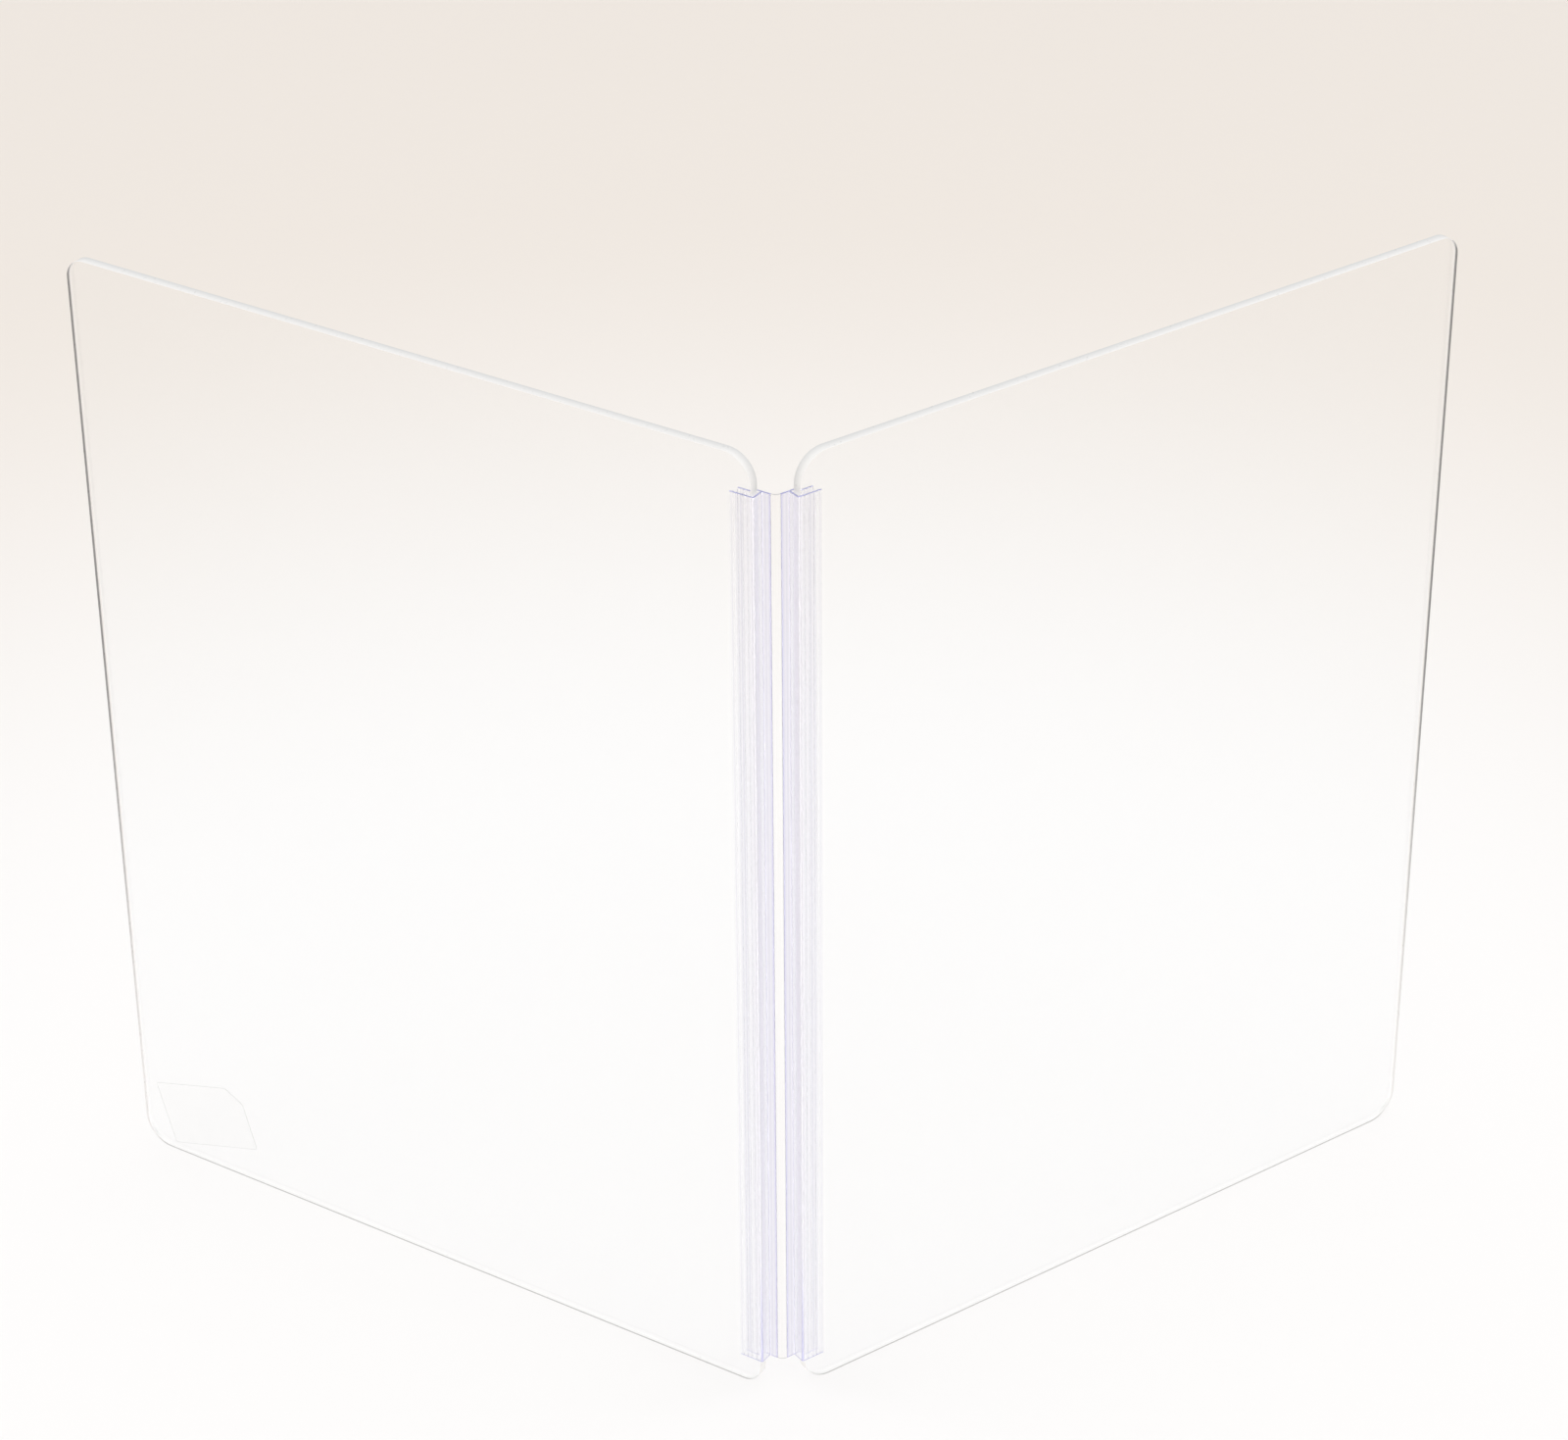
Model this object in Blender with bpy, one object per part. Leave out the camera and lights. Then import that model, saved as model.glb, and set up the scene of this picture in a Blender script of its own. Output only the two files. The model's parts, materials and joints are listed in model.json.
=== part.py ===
"""Amp shield: two clear sheets joined at their inner edges by one push-on living hinge.

Run with  blender --background --python part.py  or from Blender's text editor.
Units are metres, +Z is up, and the shield stands open in a V whose apex points to -Y.

Each leaf is built in its own flat coordinates: "along" runs from the hinge to the
sheet's outer edge, "back" runs from the player's side to the amp's side, and zero is
the leaf's pivot line in the middle of the thin fin that carries the web.
"""

import math

import bmesh
import bpy
from mathutils import Matrix, Vector

# Clear sheets
SHEET_WIDTH = 0.450
SHEET_HEIGHT = 0.600
SHEET_THICKNESS = 0.006
CORNER_RADIUS = 0.0175
OUTER_TOP_RADIUS = 0.0125
LEFT_FOOT_RADIUS = 0.0115
POLISHED_EDGE = 0.0006

# How the shield stands: the plan angle between each leaf and the X axis
LEAF_ANGLE = math.radians(34.0)

# Hinge extrusion: rigid U channel
CHANNEL_WALL = 0.0010
CHANNEL_FLOOR = 0.0011
FRONT_FLANGE = 0.0150
REAR_FLANGE = 0.0135
CHANNEL_CORNER = 0.0009
FLANGE_LIP_ROUND = 0.0004
GRIP_CLEARANCE = 0.00025
SHEET_EDGE_GAP = 0.0015
END_SETBACK = 0.0025
HINGE_DROP = 0.0015

# Grip ribs inside each flange, undercut towards the channel's floor
RIB_HEIGHT = 0.00035
RIB_PITCH = 0.0028
RIB_RAMP = 0.0012
RIB_CREST = 0.0002
FIRST_RIB_INSET = 0.0007

# Hinge extrusion: the fin beside each channel and the flexible web between the fins
FIN_LENGTH = 0.0050
FIN_THICKNESS = 0.0012
FIN_ROOT = 0.0005
WEB_WIDTH = 0.0052
WEB_THICKNESS = 0.0009
JOIN_GAP = 0.0003

# Blank clear label film on the front of the left sheet
LABEL_WIDTH = 0.067
LABEL_HEIGHT = 0.042
LABEL_THICKNESS = 0.0002
LABEL_CUT_CORNER = 0.0105
LABEL_ROUND = 0.0015
LABEL_TILT = math.radians(16.5)
LABEL_FROM_OUTER_EDGE = 0.0490
LABEL_FROM_BOTTOM = 0.0355
LABEL_GAP = 0.0003

# Facets
CORNER_SEGMENTS = 24
EDGE_SEGMENTS = 4
ROUND_STEPS = 8
WEB_STEPS = 24
SHARP_FROM = math.radians(60.0)

# Sizes that follow from the ones above
HINGE_LENGTH = SHEET_HEIGHT - 2.0 * (CORNER_RADIUS + END_SETBACK)
SKIN = CHANNEL_WALL + RIB_HEIGHT + GRIP_CLEARANCE
CHANNEL_DEPTH_OUTSIDE = SHEET_THICKNESS + 2.0 * SKIN
BEND_RADIUS = WEB_WIDTH / (2.0 * LEAF_ANGLE)
PIVOT_OFFSET = BEND_RADIUS * math.tan(LEAF_ANGLE / 2.0)
FIN_START = PIVOT_OFFSET
CHANNEL_START = FIN_START + FIN_LENGTH
SHEET_START = CHANNEL_START + CHANNEL_FLOOR + SHEET_EDGE_GAP
REAR_FACE = FIN_THICKNESS / 2.0
SHEET_REAR = REAR_FACE - SKIN
SHEET_FRONT = SHEET_REAR - SHEET_THICKNESS
FRONT_FACE = REAR_FACE - CHANNEL_DEPTH_OUTSIDE


def clear_scene():
    """Remove every object that the file opened with."""
    for old in list(bpy.data.objects):
        bpy.data.objects.remove(old, do_unlink=True)


def make_material(name, colour, roughness, transmission, ior):
    """A Principled material with the piece's own colour and finish."""
    material = bpy.data.materials.new(name)
    material.use_nodes = True
    shader = material.node_tree.nodes["Principled BSDF"]
    shader.inputs["Base Color"].default_value = (*colour, 1.0)
    shader.inputs["Roughness"].default_value = roughness
    shader.inputs["Metallic"].default_value = 0.0
    shader.inputs["Transmission Weight"].default_value = transmission
    shader.inputs["IOR"].default_value = ior
    material.diffuse_color = (*colour, 1.0)
    return material


def make_empty(name, collection, parent=None):
    """A small empty that carries pieces and marks an axis."""
    empty = bpy.data.objects.new(name, None)
    empty.empty_display_size = 0.03
    collection.objects.link(empty)
    empty.parent = parent
    return empty


def arc_points(centre, radius, start, end, steps):
    """Points on an arc, both ends included, with angles in radians."""
    turns = [start + (end - start) * step / steps for step in range(steps + 1)]
    return [(centre[0] + radius * math.cos(t), centre[1] + radius * math.sin(t)) for t in turns]


def extrude_outline(name, outline, length, material, collection, parent):
    """One closed outline in the plan plane, filled and run up and down by half its length."""
    curve = bpy.data.curves.new(name, "CURVE")
    curve.dimensions = "2D"
    curve.fill_mode = "BOTH"
    curve.extrude = length / 2.0
    spline = curve.splines.new("POLY")
    spline.points.add(len(outline) - 1)
    for point, (x, y) in zip(spline.points, outline):
        point.co = (x, y, 0.0, 1.0)
    spline.use_cyclic_u = True
    curve.materials.append(material)
    piece = bpy.data.objects.new(name, curve)
    collection.objects.link(piece)
    piece.parent = parent
    return piece


# Sheets


def make_sheet(name, side, material, collection, parent):
    """A sheet with four round corners and a narrow polished round on every edge."""
    mesh = bpy.data.meshes.new(name)
    body = bmesh.new()
    bmesh.ops.create_cube(body, size=1.0)
    size = Vector((SHEET_WIDTH, SHEET_THICKNESS, SHEET_HEIGHT))
    bmesh.ops.transform(body, matrix=Matrix.Diagonal((*size, 1.0)), verts=body.verts)
    outer_top = [edge for edge in sharp_corners(body) if is_outer_top(edge, side)]
    round_corners(body, outer_top, OUTER_TOP_RADIUS)
    left_foot = [edge for edge in sharp_corners(body) if is_left_foot(edge, side)]
    round_corners(body, left_foot, LEFT_FOOT_RADIUS)
    round_corners(body, sharp_corners(body), CORNER_RADIUS)
    rims = [edge for edge in body.edges if edge.calc_face_angle() > SHARP_FROM]
    bmesh.ops.bevel(
        body, geom=rims, offset=POLISHED_EDGE, offset_type="OFFSET",
        segments=EDGE_SEGMENTS, profile=0.5, affect="EDGES",
    )
    middle = Vector((
        side * (SHEET_START + SHEET_WIDTH / 2.0),
        SHEET_REAR - SHEET_THICKNESS / 2.0,
        0.0,
    ))
    bmesh.ops.translate(body, vec=middle, verts=body.verts)
    bmesh.ops.recalc_face_normals(body, faces=body.faces)
    body.to_mesh(mesh)
    body.free()
    mesh.shade_smooth()
    mesh.set_sharp_from_angle(angle=SHARP_FROM)
    mesh.materials.append(material)
    sheet = bpy.data.objects.new(name, mesh)
    collection.objects.link(sheet)
    sheet.parent = parent
    sheet.location = (0.0, 0.0, SHEET_HEIGHT / 2.0)
    return sheet


def sharp_corners(body):
    """The sheet's corners that are still sharp: edges from its front face to its back face."""
    corners = []
    for edge in body.edges:
        run = edge.verts[1].co - edge.verts[0].co
        if abs(run.y) > 0.9 * run.length and edge.calc_face_angle() > SHARP_FROM:
            corners.append(edge)
    return corners


def is_outer_top(edge, side):
    """True for the corner that is highest and furthest from the hinge."""
    spot = edge.verts[0].co
    return side * spot.x > 0.0 and spot.z > 0.0


def is_left_foot(edge, side):
    """True for the left sheet's corner at the foot of the hinge."""
    corner = edge.verts[0].co
    return side < 0.0 and side * corner.x < 0.0 and corner.z < 0.0


def round_corners(body, corners, radius):
    """Round the given corners of a sheet."""
    bmesh.ops.bevel(
        body, geom=corners, offset=radius, offset_type="OFFSET",
        segments=CORNER_SEGMENTS, profile=0.5, affect="EDGES",
    )


# Hinge channel


def rib_teeth(length, inner, towards_sheet):
    """The ribbed inner wall of a flange, walked from its free end to the channel floor.

    Each rib has a long ramp that the sheet slides in over and a steep back that holds it.
    """
    teeth = []
    tip = CHANNEL_START + length - FIRST_RIB_INSET
    floor = CHANNEL_START + CHANNEL_FLOOR
    while tip - RIB_RAMP - 2.0 * RIB_CREST > floor:
        crest = inner + towards_sheet * RIB_HEIGHT
        teeth.append((tip, inner))
        teeth.append((tip - RIB_RAMP, crest))
        teeth.append((tip - RIB_RAMP - RIB_CREST, crest))
        teeth.append((tip - RIB_RAMP - RIB_CREST, inner))
        tip -= RIB_PITCH
    return teeth


def channel_outline(side):
    """The channel's section: fin, rear flange, floor and front flange, as one outline."""
    start = CHANNEL_START
    front_tip = start + FRONT_FLANGE
    rear_tip = start + REAR_FLANGE
    lip = FLANGE_LIP_ROUND
    rear_inner = REAR_FACE - CHANNEL_WALL
    front_inner = FRONT_FACE + CHANNEL_WALL
    floor = start + CHANNEL_FLOOR
    bend = CHANNEL_CORNER

    outline = [(FIN_START + JOIN_GAP / 2.0, REAR_FACE)]
    outline += arc_points((rear_tip - lip, REAR_FACE - lip), lip, math.pi / 2.0, 0.0, ROUND_STEPS)
    outline.append((rear_tip, rear_inner + RIB_HEIGHT * 0.5))
    outline += rib_teeth(REAR_FLANGE, rear_inner, -1.0)
    outline.append((floor, rear_inner))
    outline.append((floor, front_inner))
    outline += list(reversed(rib_teeth(FRONT_FLANGE, front_inner, 1.0)))
    outline.append((front_tip, front_inner - RIB_HEIGHT * 0.5))
    outline += arc_points((front_tip - lip, FRONT_FACE + lip), lip, 0.0, -math.pi / 2.0, ROUND_STEPS)
    outline += arc_points(
        (start + bend, FRONT_FACE + bend), bend, -math.pi / 2.0, -math.pi, ROUND_STEPS,
    )
    fin_front = REAR_FACE - FIN_THICKNESS
    outline += arc_points(
        (start - FIN_ROOT, fin_front - FIN_ROOT), FIN_ROOT, 0.0, math.pi / 2.0, ROUND_STEPS,
    )
    outline.append((FIN_START + JOIN_GAP / 2.0, fin_front))
    return [(side * along, back) for along, back in outline]


def make_channel(name, side, material, collection, parent):
    """One rigid U channel of the hinge, pushed over the sheet's inner edge."""
    channel = extrude_outline(
        name, channel_outline(side), HINGE_LENGTH, material, collection, parent,
    )
    channel.location = (0.0, 0.0, SHEET_HEIGHT / 2.0 - HINGE_DROP)
    return channel


# Flexible web


def make_web(name, material, collection, parent):
    """The flexible strip, bent to an arc that is tangent to both fins."""
    inner = BEND_RADIUS - WEB_THICKNESS / 2.0
    outer = BEND_RADIUS + WEB_THICKNESS / 2.0
    reach = LEAF_ANGLE - JOIN_GAP / (2.0 * BEND_RADIUS)
    centre = (0.0, BEND_RADIUS)
    down = -math.pi / 2.0
    outline = arc_points(centre, outer, down - reach, down + reach, WEB_STEPS)
    outline += arc_points(centre, inner, down + reach, down - reach, WEB_STEPS)
    web = extrude_outline(name, outline, HINGE_LENGTH, material, collection, parent)
    web.location = (0.0, 0.0, SHEET_HEIGHT / 2.0 - HINGE_DROP)
    return web


# Label film


def rounded_polygon(corners, radius, steps):
    """A closed outline whose corners are rounded by short quadratic curves."""
    outline = []
    count = len(corners)
    for index, corner in enumerate(corners):
        here = Vector(corner)
        before = (Vector(corners[index - 1]) - here).normalized()
        after = (Vector(corners[(index + 1) % count]) - here).normalized()
        start = here + before * radius
        end = here + after * radius
        for step in range(steps + 1):
            t = step / steps
            outline.append(start * (1 - t) ** 2 + here * (2 * t * (1 - t)) + end * t * t)
    return outline


def make_label(name, material, collection, parent):
    """A blank clear film with one cut corner, stuck on a tilt low on the left sheet."""
    half_width = LABEL_WIDTH / 2.0
    half_height = LABEL_HEIGHT / 2.0
    corners = [
        (-half_width, -half_height),
        (half_width, -half_height),
        (half_width, half_height - LABEL_CUT_CORNER),
        (half_width - LABEL_CUT_CORNER, half_height),
        (-half_width, half_height),
    ]
    points = rounded_polygon(corners, LABEL_ROUND, ROUND_STEPS)
    film = extrude_outline(
        name, [tuple(point) for point in points], LABEL_THICKNESS, material, collection, parent,
    )
    outer_edge = SHEET_START + SHEET_WIDTH
    film.rotation_euler = (math.pi / 2.0, -LABEL_TILT, 0.0)
    film.location = (
        -(outer_edge - LABEL_FROM_OUTER_EDGE),
        SHEET_FRONT - LABEL_GAP - LABEL_THICKNESS / 2.0,
        LABEL_FROM_BOTTOM,
    )
    return film


def centre_on_floor(frame, pieces):
    """Move the whole shield so that its box stands on the origin."""
    bpy.context.view_layer.update()
    depsgraph = bpy.context.evaluated_depsgraph_get()
    spots = []
    for piece in pieces:
        shape = piece.evaluated_get(depsgraph)
        mesh = shape.to_mesh()
        spots += [shape.matrix_world @ vertex.co for vertex in mesh.vertices]
        shape.to_mesh_clear()
    low = Vector([min(spot[axis] for spot in spots) for axis in range(3)])
    high = Vector([max(spot[axis] for spot in spots) for axis in range(3)])
    frame.location = (-(low.x + high.x) / 2.0, -(low.y + high.y) / 2.0, -low.z)
    bpy.context.view_layer.update()
    print("size", [round(high[axis] - low[axis], 5) for axis in range(3)])


def main():
    clear_scene()
    collection = bpy.data.collections.new("amp_shield")
    bpy.context.scene.collection.children.link(collection)

    sheet_material = make_material("clear_acrylic", (0.93, 0.94, 0.93), 0.03, 0.9, 1.49)
    channel_material = make_material("clear_rigid_vinyl", (0.80, 0.81, 0.93), 0.12, 0.8, 1.54)
    web_material = make_material("clear_soft_vinyl", (0.95, 0.91, 0.84), 0.20, 0.8, 1.52)
    film_material = make_material("clear_film", (0.97, 0.97, 0.97), 0.15, 0.9, 1.46)

    frame = make_empty("amp_shield_frame", collection)
    pieces = []
    for word, side in (("left", -1.0), ("right", 1.0)):
        axis = make_empty(word + "_leaf_axis", collection, frame)
        axis.location = (side * PIVOT_OFFSET, 0.0, 0.0)
        axis.rotation_euler = (0.0, 0.0, side * LEAF_ANGLE)
        pieces.append(make_sheet(word + "_panel", side, sheet_material, collection, axis))
        pieces.append(
            make_channel(word + "_hinge_channel", side, channel_material, collection, axis)
        )
        if word == "left":
            pieces.append(make_label("label_film", film_material, collection, axis))
    pieces.append(make_web("hinge_web", web_material, collection, frame))
    centre_on_floor(frame, pieces)

    for word in ("left", "right"):
        spot = bpy.data.objects[word + "_leaf_axis"].matrix_world.translation
        print(word, "pivot", [round(value, 6) for value in spot])


if __name__ == "__main__":
    main()
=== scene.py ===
"""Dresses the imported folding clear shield: two acrylic sheets in a V, a push-on vinyl hinge
between them and a blank clear label film, on a pale studio floor. Lengths are in metres."""

import json
import math

import bmesh
import bpy
from mathutils import Matrix, Vector
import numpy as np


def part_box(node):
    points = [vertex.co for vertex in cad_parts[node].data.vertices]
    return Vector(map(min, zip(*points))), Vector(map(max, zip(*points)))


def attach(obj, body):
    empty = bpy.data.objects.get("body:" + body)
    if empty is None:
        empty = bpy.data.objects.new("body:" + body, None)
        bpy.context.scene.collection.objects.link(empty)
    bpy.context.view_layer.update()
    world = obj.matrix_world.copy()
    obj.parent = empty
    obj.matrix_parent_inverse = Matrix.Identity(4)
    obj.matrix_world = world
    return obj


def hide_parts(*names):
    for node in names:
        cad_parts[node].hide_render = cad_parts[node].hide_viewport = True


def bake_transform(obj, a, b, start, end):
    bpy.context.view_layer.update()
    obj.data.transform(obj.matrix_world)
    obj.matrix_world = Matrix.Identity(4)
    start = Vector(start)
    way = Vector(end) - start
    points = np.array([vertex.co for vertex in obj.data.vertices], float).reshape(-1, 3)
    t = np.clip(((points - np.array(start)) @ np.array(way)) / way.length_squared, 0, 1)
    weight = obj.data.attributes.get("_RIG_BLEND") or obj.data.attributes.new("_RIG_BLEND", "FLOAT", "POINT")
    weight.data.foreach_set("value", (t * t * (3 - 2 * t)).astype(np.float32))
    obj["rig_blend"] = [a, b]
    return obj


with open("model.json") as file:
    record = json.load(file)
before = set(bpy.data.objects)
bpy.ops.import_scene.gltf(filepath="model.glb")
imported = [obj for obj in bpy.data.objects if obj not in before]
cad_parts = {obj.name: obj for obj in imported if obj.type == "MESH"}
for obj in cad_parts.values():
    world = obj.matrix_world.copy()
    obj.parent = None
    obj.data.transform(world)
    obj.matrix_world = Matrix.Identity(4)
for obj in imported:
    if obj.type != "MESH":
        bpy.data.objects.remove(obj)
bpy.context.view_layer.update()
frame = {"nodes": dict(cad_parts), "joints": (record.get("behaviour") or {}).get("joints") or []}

bl_info = {
    "name": "Folding Clear Shield",
    "version": (1, 0, 0),
    "blender": (4, 5, 0),
    "location": "3D View > Sidebar > Clear Shield",
    "description": "Builds a folding clear shield of two sheets and a vinyl hinge",
    "category": "Add Mesh",
}

SIDES = ("left", "right")

# Points closer together than this are one
TINY = 1e-5
# How far from the middle of the V a point of the web may lie and still be on its mid line
MIDLINE_REACH = 1e-4
# How far under the shield the floor lies, so that the two don't share a face
FLOOR_GAP = 0.0004

# The least part of a unit normal along an axis, for a face that looks along that axis, for
# one that looks exactly along it, and for a channel's cut end or its eased edge
ALONG = 0.99
SQUARE = 0.9999
CUT_END = 0.3
# The parts between which the normals of a channel's rounded corners lie
CORNER_LEAN = (0.05, 0.99)
# The angle between two faces, in radians, from which a sheet's corner is still sharp
SHARP_FROM = 1.0

# Materials in the order of their slots
FACE, RIM = range(2)
WALL, CUT, CORNER, FIN, ROOT, BRIDGE = range(6)
WEB, WEB_JOINED, WEB_CUT = range(3)
# How far past the bridge a channel's front corner still reaches
CORNER_REACH = 0.001

# Along the bottom rim the dark front band is 1 / (1 + this) as deep as along the outer rim; it is painted
# shade there and a painted reflection along the outer rim
PAINTED_BAND_NARROWING = 1.0

# A range that runs from one down to nothing
DOWN = (1.0, 0.0)

# How squarely a rim faces out, towards the hinge or the floor as it takes on that rim's look
FACING_OUT = (0.55, 0.97)
FACING_HINGE = (0.6, 0.95)
FACING_FLOOR = (0.7, 1.0)
# Shares of the sheet's depth between which the satin rims grow greyer, with painted shade
SHADE_DEPTHS = (0.2, 1.0)
# Where the gripped rim's paler look, painted light, starts and ends, from the hinge's top and from its foot
GRIP_TOP_FADE = (-0.002, 0.001)
GRIP_FOOT_FADE = (-0.004, 0.001)

# Height below which the channels' front corners have their deepest tint
DEEPEST_BELOW = 0.03
# Share of the joint's line that has its full tint
JOINT_CORE = 0.6

# How squarely the film's surface faces outwards as its cut edge turns into its face
FILM_EDGE_BAND = (0.3, 0.8)
FILM_EDGE_CLEARNESS = 0.2

# Scales of the grains, in features a metre
HANDLING_SCALE = 9.0
CASTING_SCALE = 5.0
POLISH_SCALE = 320.0
SAW_SCALE = 1500.0
WEB_SCALE = 700.0
FILM_SCALE = 2600.0
FIBRE_SCALE = 60.0
# How the coordinates are scaled, so that the saw's marks run across the hinge and the web's
# lines along it
SAW_STRETCH = (1.0, 0.15, 1.0)
WEB_STRETCH = (1.0, 1.0, 0.004)

# The parts of a noise's values that are spread over a whole range
NOISE_BAND = (0.3, 0.7)
HANDLED_BAND = (0.42, 0.72)
LINE_BAND = (0.50, 0.66)
DRAWN_BAND = (0.35, 0.7)
SAW_BAND = (0.35, 0.65)

# How much of each colour of the floor's light goes on through each finish
FACE_PASSES = (0.985, 0.985, 0.985)
RIM_PASSES = (0.96, 0.96, 0.96)
CHANNEL_PASSES = (0.97, 0.965, 0.98)
CUT_PASSES = (0.95, 0.95, 0.98)
WEB_PASSES = (0.97, 0.965, 0.95)
FILM_PASSES = (0.98, 0.98, 0.98)

# The lights' places, colours and the point they are aimed at
LIGHT_AIM = Vector((0.0, 0.0, 0.25))
TOP_LIGHT = {"place": (0.0, -0.2, 3.2), "colour": (1.0, 0.985, 0.96)}
TOP_LIGHT_WIDTH = 3.0
LEFT_LIGHT = {"place": (-3.0, -2.2, 2.2), "colour": (1.0, 0.98, 0.95)}
FRONT_LIGHT = {"place": (0.0, -4.2, 1.8), "colour": (1.0, 0.99, 0.98)}
RIGHT_LIGHT = {"place": (3.0, -2.0, 2.4), "colour": (0.97, 0.98, 1.0)}
# How steeply up a direction points where the surroundings have their overhead colour
OVERHEAD = 0.8
# How often light may bounce or pass through, and how often it may be mirrored
LIGHT_BOUNCES = 32
MIRROR_BOUNCES = 24


# Where the leaves stand


def joint_named(name):
    """The record's joint of that name."""
    for joint in frame["joints"]:
        if joint["name"] == name:
            return joint
    raise RuntimeError("the frame has no joint named " + name)


def leaf_axes(side):
    """Matrix from a leaf's own axes to the object: X runs along the sheet to the right, Y to its
    back, Z up, and the origin is on the leaf's fold line, on the floor."""
    panel = frame["nodes"][side + "_panel"]
    largest = max(panel.data.polygons, key=lambda polygon: polygon.area)
    back = Vector((largest.normal.x, largest.normal.y, 0.0)).normalized()
    if back.y < 0.0:
        back.negate()
    along = Vector((back.y, -back.x, 0.0))
    fold = joint_named(side + "_leaf_fold")["pos_m"]
    axes = Matrix.Identity(4)
    axes.col[0][:3] = along
    axes.col[1][:3] = back
    axes.col[3][:3] = (fold[0], fold[1], 0.0)
    return axes


def extent(node, axes):
    """Lowest and highest corner of a CAD node, measured along the given axes."""
    into = axes.inverted()
    spots = [into @ vertex.co for vertex in frame["nodes"][node].data.vertices]
    low = Vector([min(spot[axis] for spot in spots) for axis in range(3)])
    high = Vector([max(spot[axis] for spot in spots) for axis in range(3)])
    return low, high


def around(height, offsets):
    """The heights that lie at the given offsets from one height."""
    return [height + offset for offset in offsets]


# Materials


class Finish:
    """A material under construction, with short calls for the nodes that these finishes share."""

    def __init__(self, name, **values):
        self.material = bpy.data.materials.new(name)
        self.material.use_nodes = True
        self.tree = self.material.node_tree
        self.tree.nodes.clear()
        self.output = self.node("ShaderNodeOutputMaterial")
        self.shader = self.node("ShaderNodeBsdfPrincipled")
        self.join(self.shader, "BSDF", self.output, "Surface")
        for key, value in values.items():
            self.shader.inputs[key.replace("_", " ")].default_value = value

    def node(self, kind, **settings):
        """A new node, with its sockets and settings given by name."""
        made = self.tree.nodes.new(kind)
        for key, value in settings.items():
            if key in made.inputs:
                made.inputs[key].default_value = value
            else:
                setattr(made, key, value)
        return made

    def join(self, source, socket_out, target, socket_in):
        self.tree.links.new(source.outputs[socket_out], target.inputs[socket_in])

    def place(self, scale=(1.0, 1.0, 1.0)):
        """Object coordinates, each multiplied by its scale."""
        spot = self.node("ShaderNodeTexCoord")
        mapping = self.node("ShaderNodeMapping", Scale=scale)
        self.join(spot, "Object", mapping, "Vector")
        return mapping

    def height(self, mapping):
        """The height above the floor, as the output Z."""
        split = self.node("ShaderNodeSeparateXYZ")
        self.join(mapping, "Vector", split, "Vector")
        return split

    def noise(self, mapping, scale, detail=2.0, roughness=0.5):
        texture = self.node("ShaderNodeTexNoise", Scale=scale, Detail=detail, Roughness=roughness)
        self.join(mapping, "Vector", texture, "Vector")
        return texture

    def lines(self, attribute, scale):
        """Noise along a value that the mesh carries, so that it stays in straight lines."""
        texture = self.node("ShaderNodeTexNoise", noise_dimensions="1D", Scale=scale, Detail=2.0)
        self.join(attribute, "Fac", texture, "W")
        return texture

    def spread(self, source, band, target=(0.0, 1.0), socket="Fac"):
        """The source's value carried from one range to another, held at its ends."""
        spread = self.node("ShaderNodeMapRange")
        ends = ("From Min", "From Max", "To Min", "To Max")
        for end, value in zip(ends, (*band, *target)):
            spread.inputs[end].default_value = value
        self.join(source, socket, spread, "Value")
        return spread

    def carried(self, attribute):
        """A value that the mesh carries at its points."""
        return self.node("ShaderNodeAttribute", attribute_name=attribute)

    def multiply(self, first, second):
        product = self.node("ShaderNodeMath", operation="MULTIPLY")
        self.tree.links.new(first.outputs[0], product.inputs[0])
        self.tree.links.new(second.outputs[0], product.inputs[1])
        return product

    def blend_colour(self, factor, first, second, socket="Result"):
        """A mix of two colours, each a plain colour or another mix."""
        mix = self.node("ShaderNodeMix", data_type="RGBA")
        self.join(factor, socket, mix, "Factor")
        for place, source in (("A", first), ("B", second)):
            into = next(s for s in mix.inputs if s.name == place and s.type == "RGBA")
            if isinstance(source, bpy.types.Node):
                out = next(s for s in source.outputs if s.type == "RGBA")
                self.tree.links.new(out, into)
            else:
                into.default_value = (*source, 1.0)
        return mix

    def colour_from(self, mix):
        """Take the shader's base colour from a mix."""
        out = next(s for s in mix.outputs if s.type == "RGBA")
        self.tree.links.new(out, self.shader.inputs["Base Color"])

    def roughen(self, grain, band, target):
        """Take the shader's roughness, within the target's range, from a grain."""
        rough = self.spread(grain, band, target)
        self.join(rough, "Result", self.shader, "Roughness")

    def ripple(self, grain, height, strength):
        """Raise the surface a little where a grain is high."""
        bump = self.node("ShaderNodeBump", Distance=height, Strength=strength)
        self.join(grain, "Fac", bump, "Height")
        self.join(bump, "Normal", self.shader, "Normal")

    def pass_light(self, colour):
        """Light on its way to the floor goes straight on, tinted, as through thin plastic."""
        ray = self.node("ShaderNodeLightPath")
        clear = self.node("ShaderNodeBsdfTransparent", Color=(*colour, 1.0))
        last = self.shader
        for kind in ("Is Diffuse Ray", "Is Shadow Ray"):
            choice = self.node("ShaderNodeMixShader")
            self.join(ray, kind, choice, "Fac")
            self.tree.links.new(last.outputs[0], choice.inputs[1])
            self.tree.links.new(clear.outputs[0], choice.inputs[2])
            last = choice
        self.join(last, "Shader", self.output, "Surface")


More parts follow.
